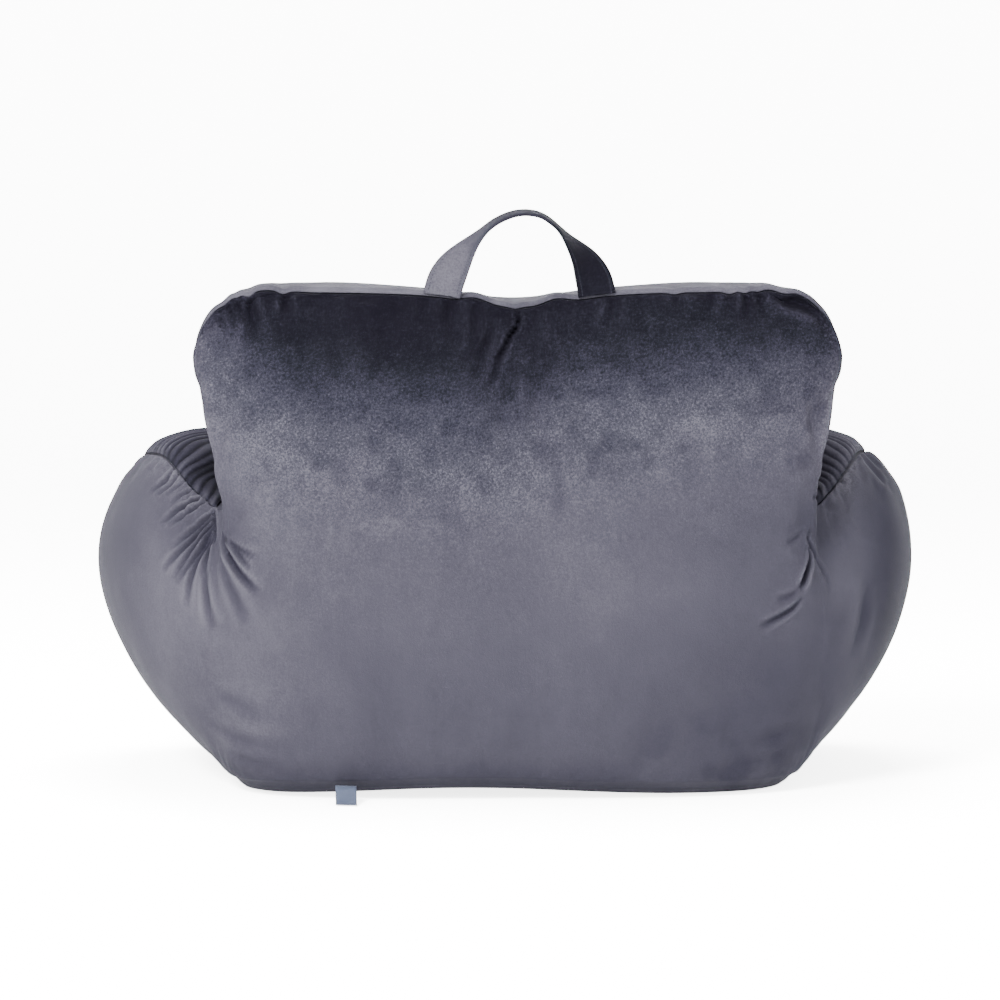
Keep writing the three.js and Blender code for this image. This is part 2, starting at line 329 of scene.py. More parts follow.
# folds pulled into the bag: how deep, how wide, how they end, and the points that each runs through
foldRows = dict(
    leftOne=(4.0, 2.2, "seam", [(-329, -83, 311), (-339, -88, 300), (-353, -85, 286)]),
    leftTwo=(3.0, 2.0, "seam", [(-325, -91, 307), (-335, -96, 297), (-348, -94, 284)]),
    leftThree=(2.2, 2.0, "seam", [(-319, -102, 300), (-328, -104, 295), (-339, -103, 286)]),
    leftFour=(4.4, 2.2, "seam", [(-306, -130, 286), (-317, -127, 281), (-327, -124, 275),
        (-342, -121, 258)]),
    leftFive=(3.2, 2.0, "seam", [(-301, -137, 283), (-311, -136, 277), (-322, -133, 270),
        (-337, -126, 259)]),
    leftSix=(4.2, 2.2, "seam", [(-291, -152, 275), (-298, -151, 270), (-304, -150, 265),
        (-317, -148, 252), (-329, -143, 238)]),
    leftSeven=(5.0, 2.4, "seam", [(-292, -156, 270), (-303, -154, 261), (-314, -153, 247),
        (-326, -148, 232), (-339, -140, 216)]),
    leftEight=(4.6, 2.2, "seam", [(-291, -159, 266), (-300, -159, 257), (-307, -159, 247),
        (-319, -157, 227), (-329, -151, 208)]),
    leftNine=(4.8, 2.4, "seam", [(-293, -162, 261), (-298, -163, 252), (-302, -165, 242),
        (-312, -162, 226), (-326, -155, 205)]),
    leftTen=(4.6, 2.6, "seam", [(-294, -165, 255), (-299, -167, 242), (-307, -166, 227),
        (-313, -166, 206), (-315, -166, 185)]),
    leftEleven=(4.2, 2.2, "seam", [(-293, -168, 250), (-296, -171, 240), (-298, -173, 227),
        (-300, -176, 211)]),
    leftThirteen=(2.2, 3.4, "free", [(-297, -175, 224), (-298, -178, 207), (-296, -182, 190),
        (-289, -184, 166)]),
    fanOne=(4.6, 2.6, "free", [(-286, -190, 260), (-283, -193, 249), (-276, -202, 235),
        (-263, -205, 218), (-246, -209, 201)]),
    leftCrease=(3.4, 2.2, "free", [(-291, -150, 277), (-291, -158, 269), (-291, -166, 258),
        (-291, -173, 244)]),
    leftUpper=(2.4, 2.0, "seam", [(-313, -116, 293), (-323, -115, 289), (-333, -115, 279)]),
    fanTwo=(3.0, 2.2, "free", [(-285, -192, 256), (-273, -204, 246), (-264, -206, 236),
        (-254, -208, 224)]),
    fanThree=(2.6, 2.2, "free", [(-280, -200, 252), (-271, -205, 246), (-260, -207, 240),
        (-248, -210, 235)]),
    fanFour=(1.8, 4.0, "free", [(-285, -191, 236), (-278, -199, 215), (-268, -202, 195),
        (-256, -203, 171)]),
    rightDeep=(5.6, 1.9, "free", [(280, -200, 242), (279, -199, 234), (277, -201, 226),
        (272, -203, 217), (269, -203, 209), (264, -204, 202)]),
    rightLong=(3.2, 2.2, "free", [(268, -202, 195), (258, -204, 184), (248, -206, 178),
        (240, -208, 174), (226, -210, 167)]),
    rightSide=(2.0, 3.0, "free", [(264, -204, 202), (256, -206, 196), (242, -209, 191)]),
    rightSmall=(1.3, 2.2, "free", [(274, -204, 257), (267, -206, 253), (261, -207, 250),
        (249, -210, 246)]),
    rightBelow=(2.6, 2.4, "seam", [(279, -201, 252), (285, -190, 229), (293, -181, 212),
        (298, -179, 195)]),
    rightArmOne=(1.8, 3.0, "seam", [(319, -103, 300), (319, -106, 299), (326, -109, 295)]),
    rightArmTwo=(1.6, 3.4, "seam", [(289, -193, 305), (311, -122, 291), (322, -122, 285)]),
    rightArmThree=(1.6, 3.0, "seam", [(283, -200, 290), (299, -142, 280), (306, -140, 278),
        (314, -137, 275)]),
    rightArmLow=(1.6, 8.0, "free", [(339, -141, 205), (337, -145, 186), (335, -144, 162),
        (323, -147, 128)]),
    notch=(7.5, 2.1, "seam", [(-3, -186, 470), (0, -190, 462), (-3, -193, 454), (-9, -195, 446),
        (-14, -198, 434), (-20, -201, 424), (-23, -204, 410), (-31, -207, 393)]),
    notchBeside=(3.0, 3.0, "free", [(-21, -191, 461), (-29, -197, 442), (-37, -201, 426),
        (-45, -206, 400)]),
    notchLeft=(2.6, 5.0, "seam", [(-39, -184, 476), (-41, -192, 461), (-40, -196, 445),
        (-45, -202, 421), (-47, -207, 398)]),
    notchTwo=(2.2, 5.0, "seam", [(-63, -184, 480), (-65, -191, 469), (-67, -195, 454)]),
    notchRight=(2.0, 6.0, "free", [(-9, -203, 411), (-11, -206, 394), (-17, -209, 379)]),
    handleFoot=(2.4, 5.0, "seam", [(90, -187, 480), (89, -192, 467), (85, -198, 447)]),
    cornerLeftOne=(4.4, 4.0, "seam", [(-222, -188, 482), (-221, -191, 473), (-220, -195, 459)]),
    cornerLeftTwo=(6.0, 4.4, "seam", [(-255, -187, 479), (-253, -191, 469), (-251, -194, 455),
        (-251, -198, 436)]),
    cornerLeftThree=(4.4, 3.6, "seam", [(-266, -187, 475), (-262, -190, 467), (-261, -193, 457)]),
    cornerLeftFour=(3.6, 3.4, "seam", [(-274, -187, 471), (-270, -190, 463), (-266, -193, 454)]),
    cornerLeftFive=(2.4, 3.4, "seam", [(-284, -188, 461), (-278, -191, 454), (-274, -193, 448)]),
    cornerRightOne=(2.6, 4.4, "seam", [(151, -186, 484), (150, -191, 473), (145, -195, 460)]),
    cornerRightTwo=(3.8, 4.4, "seam", [(201, -186, 484), (200, -191, 473), (198, -196, 456)]),
    cornerRightThree=(4.6, 4.6, "seam", [(217, -187, 483), (218, -192, 470), (216, -196, 454)]),
    cornerRightFour=(3.0, 4.0, "seam", [(230, -187, 483), (231, -191, 472), (232, -194, 460)]),
    cornerRightFive=(4.6, 5.2, "free", [(243, -187, 482), (259, -188, 477), (274, -187, 472),
        (287, -184, 469)]),
    lowLeftOne=(0.8, 7.0, "free", [(-300, -143, 71), (-271, -167, 58), (-239, -186, 51),
        (-210, -196, 51)]),
    lowLeftTwo=(0.8, 6.0, "free", [(-278, -150, 43), (-253, -173, 36), (-219, -188, 34)]),
    lowLeftThree=(0.7, 7.0, "free", [(-291, -167, 105), (-266, -184, 91), (-245, -192, 80)]),
    lowRightOne=(0.8, 7.0, "free", [(271, -173, 70), (245, -186, 58), (219, -193, 50)]),
    lowRightTwo=(0.7, 6.0, "free", [(259, -172, 42), (232, -184, 34), (207, -192, 33)]),
)
lengthwise = np.cumsum(np.r_[0, np.linalg.norm(np.diff(topOf(along)[:, 0], axis=0), axis=1)])
uneven = 0.9 * gridNoise((len(along), 1), (40, 1), 5)[:, 0]
puckerPhase = 2 * math.pi * (lengthwise / relief["puckerPitch"] + uneven)
puckerSize = 0.55 + 0.45 * gridNoise((len(along), 1), (26, 1), 9)[:, 0]
pucker = (np.abs(np.sin(puckerPhase / 2)) ** 0.8 * puckerSize)[:, None]
pucker = pucker * np.exp(-topSeam / relief["puckerReach"])
height = relief["sag"] * pointNoise(skin, relief["sagSize"], 3)
height = height * smooth(topSeam, 5, 60) * smooth(baseSeam, 5, 60)
height += relief["ripple"] * pointNoise(skin, relief["rippleSize"], 4) * smooth(topSeam, 3, 25)
height += relief["pucker"] * pucker * smooth(topSeam, 0, 4)
height -= relief["seamDepth"] * np.exp(-(topSeam / relief["seamReach"]) ** 2)


def foldShape(skin, deep, wide, ends, points):
    # a valley along a line of points, and the low ridge on each side of it
    # a "seam" fold is deepest where it starts at its seam, a "free" one in its middle
    line = np.array(points, float)
    valley, ridge = np.zeros(skin.shape[:2]), np.zeros(skin.shape[:2])
    near = np.all((skin > line.min(axis=0) - 5 * wide) & (skin < line.max(axis=0) + 5 * wide), axis=-1)
    p = skin[near]
    lengths = np.linalg.norm(np.diff(line, axis=0), axis=1)
    run = np.r_[0, np.cumsum(lengths)]
    best = np.full(len(p), 1e9)
    place = np.zeros(len(p))
    for i in range(len(line) - 1):
        step = line[i + 1] - line[i]
        t = np.clip((p - line[i]) @ step / (step @ step), 0, 1)
        distance = np.linalg.norm(p - line[i] - t[:, None] * step, axis=1)
        closer = distance < best
        best = np.where(closer, distance, best)
        place = np.where(closer, (run[i] + t * lengths[i]) / run[-1], place)
    if ends == "seam":
        size = np.clip(1 - place, 0, 1) ** 0.7 * (0.6 + 0.4 * smooth(place, 0, 0.15))
    else:
        size = np.sin(math.pi * np.clip(place, 0, 1)) ** 0.7
    spread = wide * (0.7 + 0.6 * place)
    valley[near] = deep * size * np.exp(-(best / spread) ** 1.5)
    ridge[near] = deep * size * np.exp(-((best - 2.1 * spread) / (1.1 * spread)) ** 2)
    return valley, ridge


valley, ridge = np.zeros(skin.shape[:2]), np.zeros(skin.shape[:2])
for row in foldRows.values():
    one, other = foldShape(skin, *row)
    valley, ridge = np.maximum(valley, one), np.maximum(ridge, other)
folded = relief["foldScale"] * (relief["ridge"] * ridge * (1 - np.clip(valley / 1.5, 0, 1)) - valley)
folded *= smooth(topSeam, 0.5, 5)
height += folded
height = np.where(isPanel, height, -relief["seamDepth"] * np.exp(-(bedSeam / relief["seamReach"]) ** 2))
print("folds pulled,", len(foldRows))


def closedFaces(rows, columns):
    faces = []
    for i in range(rows - 1):
        for j in range(columns):
            k = (j + 1) % columns
            faces.append((i * columns + j, (i + 1) * columns + j, (i + 1) * columns + k, i * columns + k))
    return faces


def slabFaces(rows, columns, turned):
    # faces of a closed slab, an upper grid and then a lower one, turned where the grid runs the other way
    total = rows * columns
    faces = []
    for i in range(rows - 1):
        for j in range(columns - 1):
            a, b = i * columns + j, i * columns + j + 1
            c, d = b + columns, a + columns
            upper, lower = ((a, d, c, b), (b, c, d, a)) if turned else ((a, b, c, d), (d, c, b, a))
            faces += [upper, tuple(total + k for k in lower)]
    edge = (list(range(columns)) + [i * columns + columns - 1 for i in range(1, rows)]
            + [(rows - 1) * columns + j for j in range(columns - 2, -1, -1)]
            + [i * columns for i in range(rows - 2, 0, -1)])
    for a, b in zip(edge, edge[1:] + edge[:1]):
        faces.append((a, b, total + b, total + a) if turned else (b, a, total + a, total + b))
    return faces


# the stuffing pushes the cover out and it wrinkles between its sewn edges: a cloth simulation on
# every fourth point, whose small wrinkles are kept and whose swelling is held back

stuffing = dict(
    stride=4, quality=6, mass=0.3, tension=20, compression=12, bending=0.25, pressure=4.0, spare=0.045,
    frames=20, cap=24, sewnReach=4, blurs=40, wrinkles=0.85, swelling=0.14, most=4.5,
)


def blurred(field, times):
    # each point is averaged with its four neighbours, again and again
    for i in range(times):
        ends = np.pad(field, ((1, 1), (1, 1), (0, 0)), mode="edge")
        field = (2 * field + ends[:-2, 1:-1] + ends[2:, 1:-1] + ends[1:-1, :-2] + ends[1:-1, 2:]) / 6
    return field


def stuffed(start):
    rowsKept = np.unique(np.r_[np.arange(0, start.shape[0], stuffing["stride"]), start.shape[0] - 1])
    columnsKept = np.arange(0, start.shape[1], stuffing["stride"])
    coarse = start[rowsKept][:, columnsKept]
    rows, columns = coarse.shape[:2]
    piece = meshObject("stuffed", coarse.reshape(-1, 3) * mm, closedFaces(rows, columns))
    held = piece.vertex_groups.new(name="sewn")
    sewn = (~isPanel[0])[None, columnsKept] | (topSeam < stuffing["sewnReach"])[rowsKept][:, columnsKept]
    sewn = sewn | (baseSeam < stuffing["sewnReach"])[rowsKept][:, columnsKept]
    sewn[0] = sewn[-1] = True
    held.add([int(i) for i in np.flatnonzero(sewn.ravel())], 1.0, "REPLACE")
    modifier = piece.modifiers.new("cloth", "CLOTH")
    settings = modifier.settings
    settings.quality = stuffing["quality"]
    settings.mass = stuffing["mass"]
    settings.tension_stiffness = stuffing["tension"]
    settings.compression_stiffness = stuffing["compression"]
    settings.bending_stiffness = stuffing["bending"]
    settings.use_pressure = True
    settings.uniform_pressure_force = stuffing["pressure"]
    settings.shrink_min = -stuffing["spare"]
    settings.vertex_group_mass = "sewn"
    settings.effector_weights.gravity = 0
    modifier.collision_settings.use_collision = False
    modifier.point_cache.frame_start = 1
    modifier.point_cache.frame_end = stuffing["frames"]
    scene = bpy.context.scene
    for number in range(1, stuffing["frames"] + 1):
        scene.frame_set(number)
    result = piece.evaluated_get(bpy.context.evaluated_depsgraph_get()).to_mesh()
    moved = np.zeros(rows * columns * 3)
    result.vertices.foreach_get("co", moved)
    moved = moved.reshape(rows, columns, 3) / mm - coarse
    scene.frame_set(1)
    bpy.data.objects.remove(piece)
    size = np.linalg.norm(moved, axis=-1, keepdims=True)
    moved *= np.minimum(1, stuffing["cap"] / np.maximum(size, 1e-6))
    swelling = blurred(moved, stuffing["blurs"])
    wrinkles = moved - swelling
    print("stuffed, wrinkles up to", round(float(np.abs(wrinkles).max()), 1), "mm")
    kept = stuffing["wrinkles"] * wrinkles + stuffing["swelling"] * swelling
    size = np.linalg.norm(kept, axis=-1, keepdims=True)
    kept *= np.minimum(1, stuffing["most"] / np.maximum(size, 1e-6))
    kept[sewn] = 0
    fine = np.zeros(start.shape)
    rowPlaces, columnPlaces = np.arange(start.shape[0]), np.arange(start.shape[1])
    for axis in range(3):
        half = np.array([np.interp(columnPlaces, columnsKept, row) for row in kept[..., axis]])
        fine[..., axis] = np.array([np.interp(rowPlaces, rowsKept, column) for column in half.T]).T
    return blurred(fine, 2)


push = np.zeros(skin.shape)
push = stuffed(skin)
lowHeld = 0.3 + 0.7 * smooth(skin[..., 2], 50, 190)
push *= (smooth(topSeam, 1, 8) * smooth(baseSeam, 1, 8) * isPanel * lowHeld)[..., None]


# the backrest's rear seam dips between two small rises behind the handle, and at its corners' gathers
rearSeam = dict(
    rise=5.0, middle=-3, at=38, reach=15,
    dips=[(-4, 1.6, 6), (-224, 3.4, 6), (-257, 5.2, 6), (-268, 2.5, 4), (-280, 3.0, 6), (148, 1.6, 6),
          (201, 2.2, 6), (216, 2.4, 5), (228, 2.0, 5), (254, 3.2, 9)],  # where, how deep, how wide
)


def seamRise(x):
    away = np.abs(x - rearSeam["middle"]) - rearSeam["at"]
    rise = rearSeam["rise"] * np.exp(-(away / rearSeam["reach"]) ** 2)
    for at, deep, wide in rearSeam["dips"]:
        rise = rise - deep * np.exp(-((x - at) / wide) ** 2)
    return rise


def seamLift(points):
    # how far a point of the backrest moves up with its rear seam
    x, y, z = points[..., 0], points[..., 1], points[..., 2]
    return seamRise(x) * smooth(z, 405, 462) * smooth(-y, 90, 180)


shaped = skin + skinNormals * height[..., None] + push
shaped[..., 2] += seamLift(skin)

rows, columns = shaped.shape[:2]
faces = closedFaces(rows, columns)
toes = [shaped[0].mean(axis=0), shaped[-1].mean(axis=0)]
points = np.vstack([shaped.reshape(-1, 3), toes]) * mm
for j in range(columns):
    k = (j + 1) % columns
    faces.append((rows * columns, j, k))
    last = (rows - 1) * columns
    faces.append((rows * columns + 1, last + k, last + j))
cushion = meshObject("bag", points, faces)
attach(cushion, "root")
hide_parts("cushion")
print("bag stuffed and sewn")


# gusset sheets that lie over the bag's beds, plain over the backrest and gathered over the arms

cloth = dict(gap=0.5, thick=1.4, cut=0.985, dive=2.6, diveReach=3.0)
topGusset = dict(rowPitch=2.6, columns=44, wave=1.6, waveSize=70,
                 pucker=1.0, puckerPitch=15, puckerReach=0.22, reach=0.1, end=-0.35)
armGusset = dict(rowPitch=1.1, columns=64, pleat=3.3, pitch=9.6, wander=4.0, middle=0.65,
                 turns=[5, 20, 51, 80], slants=[20, 30, 48, 58], reach=0.24, end=0.32, seed=21)


def evenAlong(first, last, pitch):
    # rows at an even pitch in mm along the top line, and how far along it each lies
    fine = np.linspace(first, last, 2000)
    line = topOf(fine)[:, 0]
    run = np.r_[0, np.cumsum(np.linalg.norm(np.diff(line, axis=0), axis=1))]
    even = np.linspace(0, run[-1], max(int(run[-1] / pitch), 8) + 1)
    return np.interp(even, run, fine), even


def bedNormals(along, across):
    small = 0.002
    lengthwise = gussetPoints(along + small, across) - gussetPoints(along - small, across)
    crosswise = gussetPoints(along, across + small) - gussetPoints(along, across - small)
    return -unit(np.cross(lengthwise, crosswise))


def sheetPiece(name, along, across, lift, reach):
    # a closed sheet whose lower face keeps the cloth's thickness under the upper one
    base = gussetPoints(along, across) + shift
    base[..., 2] += seamLift(base)
    normals = bedNormals(along, across)
    rim = smooth(1 - np.abs(across) / cloth["cut"], 0, reach)[None, :] * np.ones((len(along), 1))
    fromEdge = (1 - np.abs(across))[None, :] * stationAt(along)["gussetHalf"]
    dive = cloth["dive"] * np.exp(-(fromEdge / cloth["diveReach"]) ** 2)
    ends = np.minimum(np.arange(len(along)), np.arange(len(along))[::-1])
    rim = rim * smooth(ends, -1, 3)[:, None]
    thick = cloth["thick"] * (0.6 + 0.4 * rim)
    upper = base + normals * (cloth["gap"] + thick + lift * (0.2 + 0.8 * rim) - dive)[..., None]
    lower = base + normals * (cloth["gap"] + lift * (0.15 + 0.75 * rim) - dive)[..., None]
    points = np.vstack([upper.reshape(-1, 3), lower.reshape(-1, 3)]) * mm
    piece = meshObject(name, points, slabFaces(upper.shape[0], upper.shape[1], False))
    crosses = np.cross(upper[1:, 1:] - upper[:-1, :-1], upper[1:, :-1] - upper[:-1, 1:])
    return piece, np.linalg.norm(crosses, axis=-1).sum() / 2 * mm * mm


def topLift(run, across):
    # the plain strip's slow waves, and small puckers along its seams
    wave = 0.5 + 0.5 * gridNoise((len(run), len(across)), (run[-1] / topGusset["waveSize"], 2.2), 11)
    phase = run / topGusset["puckerPitch"] + 0.8 * gridNoise((len(run), 1), (44, 1), 12)[:, 0]
    size = 0.5 + 0.5 * gridNoise((len(run), 1), (24, 1), 13)[:, 0]
    ridges = (np.abs(np.sin(math.pi * phase)) ** 0.8 * size)[:, None]
    near = np.exp(-(1 - np.abs(across)) / topGusset["puckerReach"])[None, :]
    return topGusset["wave"] * wave + topGusset["pucker"] * ridges * near


def armLift(side, along, run, across, seed):
    # pleats that cross the strip, slanting back to the crook, each with a size of its own
    shape = (len(run), len(across))
    wander = armGusset["wander"] * gridNoise(shape, (run[-1] / 22, 3), seed)
    pitch = armGusset["pitch"] * (1 + 0.25 * gridNoise((len(run), 1), (14, 1), seed + 1)[:, 0])
    turns = np.r_[0, np.cumsum(np.diff(run) / pitch[1:])]
    slant = np.interp(np.abs(stationAt(along)["topTurn"]), armGusset["turns"], armGusset["slants"])
    phase = turns[:, None] + (wander - side * slant * (1 - across)[None, :] / 2) / armGusset["pitch"]
    ridge = np.abs(np.sin(math.pi * phase)) ** 0.7
    sizes = np.random.default_rng(seed + 3).uniform(0.45, 1.1, 400)
    size = sizes[np.floor(phase).astype(int) % 400] + 0.2 * gridNoise(shape, (run[-1] / 30, 3), seed + 2)
    across = np.abs(across)[None, :]
    near = armGusset["middle"] + (1 - armGusset["middle"]) * across ** 1.5
    small = 0.25 * np.abs(np.sin(2 * math.pi * phase + 1)) * across ** 3
    return armGusset["pleat"] * (ridge * near + small) * np.clip(size, 0.35, 1.2)


def acrossOf(columns):
    return cloth["cut"] * (2 * crowded(columns, 0.6) - 1)


topEnds = [alongOf("crook", side, topGusset["end"]) for side in (-1, 1)]
topAlong, topRun = evenAlong(*topEnds, topGusset["rowPitch"])
topAcross = acrossOf(topGusset["columns"])
lift = topLift(topRun, topAcross)
topSheet, topArea = sheetPiece("top_strip", topAlong, topAcross, lift, topGusset["reach"])
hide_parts("top_gusset")
sheets = {"top_strip": (topSheet, topArea, topRun[-1])}
pleatLight = {}
for side, word in ((-1, "left"), (1, "right")):
    ends = sorted([alongOf("crook", side, armGusset["end"]), alongOf("toe", side)])
    armAlong, armRun = evenAlong(ends[0], ends[1], armGusset["rowPitch"])
    armAcross = acrossOf(armGusset["columns"])
    lift = armLift(side, armAlong, armRun, armAcross, armGusset["seed"] + 10 * side)
    armSheet, armArea = sheetPiece("arm_strip_" + word, armAlong, armAcross, lift, armGusset["reach"])
    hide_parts("arm_gusset_" + word)
    sheets["arm_strip_" + word] = (armSheet, armArea, armRun[-1])
    # painted light and shade on the pleats: lighter on their tops, darker in their hollows
    pleatShading = np.clip(lift / armGusset["pleat"] - 0.55, -0.5, 0.3).ravel()
    pleatLight["arm_strip_" + word] = np.tile(1.1 * pleatShading, 2)
for name, (sheetObject, area, run) in sheets.items():
    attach(sheetObject, "root")
    print(name, "area", round(area, 4), "run", round(run))
flatWidths = dict(top_strip=0.148, arm_strip_left=0.13, arm_strip_right=0.13)
for name, (sheetObject, area, run) in sheets.items():
    width = flatWidths[name]
    area / width
    "gathered" if "arm" in name else "stretched"
print("gussets sewn on")


# strap handle, flat along the seam at its ends and turned edge on at its top

strap = dict(
    width=36, thick=3.6, steps=150, gap=0.8, stitchIn=4.2, stitchDepth=0.45,
    bend=0.5, bendFade=20, lean=7, twist=0.85,
    path=[(-73.6, 0), (-69, 15), (-60, 31), (-43, 52), (-22, 70), (0, 78), (20, 76), (35, 66), (47, 52.5),
          (63, 32), (71, 15), (74.5, 0)],
)


def centripetal(points, count):
    # the curve that the solid's strap follows
    before, after = 2 * np.array(points[0]) - points[1], 2 * np.array(points[-1]) - points[-2]
    p = np.array([before] + list(points) + [after], float)
    result = []
    for t in np.linspace(0, 1, count):
        place = t * (len(points) - 1)
        i = min(int(place), len(points) - 2)
        w = place - i
        p0, p1, p2, p3 = p[i:i + 4]
        d0, d1, d2 = [max(np.linalg.norm(b - a) ** 0.5, 1e-4) for a, b in ((p0, p1), (p1, p2), (p2, p3))]
        t1 = ((p1 - p0) / d0 - (p2 - p0) / (d0 + d1) + (p2 - p1) / d1) * d1
        t2 = ((p2 - p1) / d1 - (p3 - p1) / (d1 + d2) + (p3 - p2) / d2) * d1
        square, cube = 3 * (p2 - p1) - 2 * t1 - t2, 2 * (p1 - p2) + t1 + t2
        result.append(p1 + t1 * w + square * w ** 2 + cube * w ** 3)
    return np.array(result)


seamPlaces = np.linspace(0.3, 0.7, 1201)
topSeamLine = gussetPoints(seamPlaces, np.array([1.0]))[:, 0] + shift
baseSeamLine = panelPoints(seamPlaces, 1, np.array([0.0]))[:, 0] + shift


def seamAt(line, x):
    # the point of a seam of the back panel at a distance from the middle
    y, z = np.interp(x, line[:, 0], line[:, 1]), np.interp(x, line[:, 0], line[:, 2])
    return np.array([x, y, z + seamRise(x) * float(smooth(z, 405, 462))])


def strapSection():
    # the strap's outline across, (place along its width, place along its thickness) in mm
    half = strap["width"] / 2
    w = half * np.sin(np.linspace(-math.pi / 2, math.pi / 2, 33))
    groove = np.exp(-((half - np.abs(w) - strap["stitchIn"]) / 0.7) ** 2) * strap["stitchDepth"]
    edge = np.clip(1 - (np.abs(w) / half) ** 14, 0, 1) ** 0.5
    swell = 0.25 * (1 - (w / half) ** 2)
    t = (strap["thick"] / 2 - 0.25 + swell - groove) * edge
    upper = list(zip(w, t))
    lower = list(zip(w[-2:0:-1], -t[-2:0:-1]))
    return np.array(upper + lower)


line = centripetal(strap["path"], strap["steps"] + 1)
tangents = np.gradient(line, axis=0)
tangents /= np.linalg.norm(tangents, axis=1, keepdims=True)
strapRise = max(z for x, z in strap["path"])
section = strapSection()
seamHeight = seamAt(topSeamLine, strap["path"][0][0])[2]
strapPoints = []
strapRun = np.r_[0, np.cumsum(np.linalg.norm(np.diff(line, axis=0), axis=1))]
wobble = gridNoise((strap["steps"] + 1, 1), (9, 1), 31)[:, 0]
for i, ((x, z), (tx, tz)) in enumerate(zip(line, tangents)):
    turned = 0.5 * math.pi * float(smooth(z / strapRise, 0, strap["twist"]))
    widthways = np.array([-tz * math.cos(turned), math.sin(turned), tx * math.cos(turned)])
    leant = math.radians(strap["lean"]) * math.sin(turned) ** 2
    widthways = widthways * math.cos(leant) + np.cross([tx, 0, tz], widthways) * math.sin(leant)
    thickways = np.cross([tx, 0, tz], widthways)
    fromEnd = min(strapRun[i], strapRun[-1] - strapRun[i])
    bend = strap["bend"] * wobble[i] * min(1, fromEnd / strap["bendFade"])
    for w, t in section:
        point = np.array([x, 0, z]) + widthways * w + thickways * (t + bend * math.cos(w / 14))
        seam = seamAt(topSeamLine, point[0])
        sewn = i in (0, strap["steps"])
        point[2] = strap["gap"] + (seam[2] if sewn else seamHeight + point[2])
        point[1] += seam[1]
        strapPoints.append(point)
strapPoints = np.array(strapPoints)
around = len(section)
strapFaces = [(i * around + j, i * around + (j + 1) % around, (i + 1) * around + (j + 1) % around,
               (i + 1) * around + j) for i in range(strap["steps"]) for j in range(around)]
lastRing = strap["steps"] * around
strapFaces += [tuple(range(around))[::-1], tuple(range(lastRing, lastRing + around))]
handle = meshObject("strap", strapPoints * mm, strapFaces)
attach(handle, "root")
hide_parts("handle")
addFloats(handle, "across", np.tile(section[:, 0], strap["steps"] + 1))
addFloats(handle, "down", np.repeat(strapRun, around))
print("handle turned")


# bare satin tab, folded double at its free end

tab = dict(width=20, length=31, thick=0.9, middle=-166, gap=0.8, steps=26, columns=14)
drop = bag["seamRise"] - 0.5 - tab["gap"] / 2
tabGrid = []
for i in range(tab["steps"] + 1):
    out = i / tab["steps"]
    for j in range(tab["columns"] + 1):
        y = j / tab["columns"] - 0.5
        root = seamAt(baseSeamLine, tab["middle"] + y * tab["width"])
        fall = float(smooth(out, 0, 1.1)) * drop
        curl = 0.5 * math.sin(3 * out + 2) * (2 * y) ** 2 * out
        tabGrid.append(root + [0, -tab["gap"] - out * tab["length"], -fall + max(curl, 0)])
tabGrid = np.array(tabGrid).reshape(tab["steps"] + 1, tab["columns"] + 1, 3)
tabNormals = gridNormals(tabGrid, False)
tabNormals *= np.sign(tabNormals[..., 2:].mean())
ends = np.linspace(0, 1, tab["steps"] + 1)
rounding = np.clip(1 - ((ends - 0.94) / 0.06).clip(0, 1) ** 2, 0.04, 1)  # the fold at the free end
thin = 0.5 * tab["thick"] * np.sqrt(rounding)[:, None, None]
upper, lower = tabGrid + tabNormals * thin, tabGrid - tabNormals * thin
tabFaces = slabFaces(tab["steps"] + 1, tab["columns"] + 1, True)
ribbon = meshObject("ribbon", np.vstack([upper.reshape(-1, 3), lower.reshape(-1, 3)]) * mm, tabFaces)
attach(ribbon, "root")
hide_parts("tab")
print("tab folded")


# how light the velvet is painted, from 0, dark, to 1, light, along the bag: partly the pile's own lie,
# partly painted shade and painted highlight

# where the dark band high on the backrest ends across the bag, and the painted shade under it; the band
# is partly the pile's lie
pileAndLightPlan = dict(
    across=[-330, -300, -277, -240, -209, -105, -76, -47, 0, 57, 120, 200, 290, 330],
    edge=[480, 470, 458, 425, 408, 396, 386, 384, 396, 416, 428, 440, 440, 446],
    below=[-75, -30, 0, 20, 50, 90, 130], shade=[0.03, 0.14, 0.40, 0.58, 0.80, 0.94, 1.0],
    stirredAt=[-80, -30, 0, 40, 90, 150, 240, 400],
    stirred=[0.8, 0.85, 0.95, 0.95, 0.75, 0.34, 0.16, 0.26],
    fold=0.09, foldMost=0.55, ridgeLight=0.11,
)


def belowEdge(points):
    # how far a point is under the edge of the dark band high on the backrest, in mm; the band is partly
    # pile lying the dark way and partly painted shade where the panel tilts up
    return np.interp(points[..., 0], pileAndLightPlan["across"], pileAndLightPlan["edge"]) - points[..., 2]


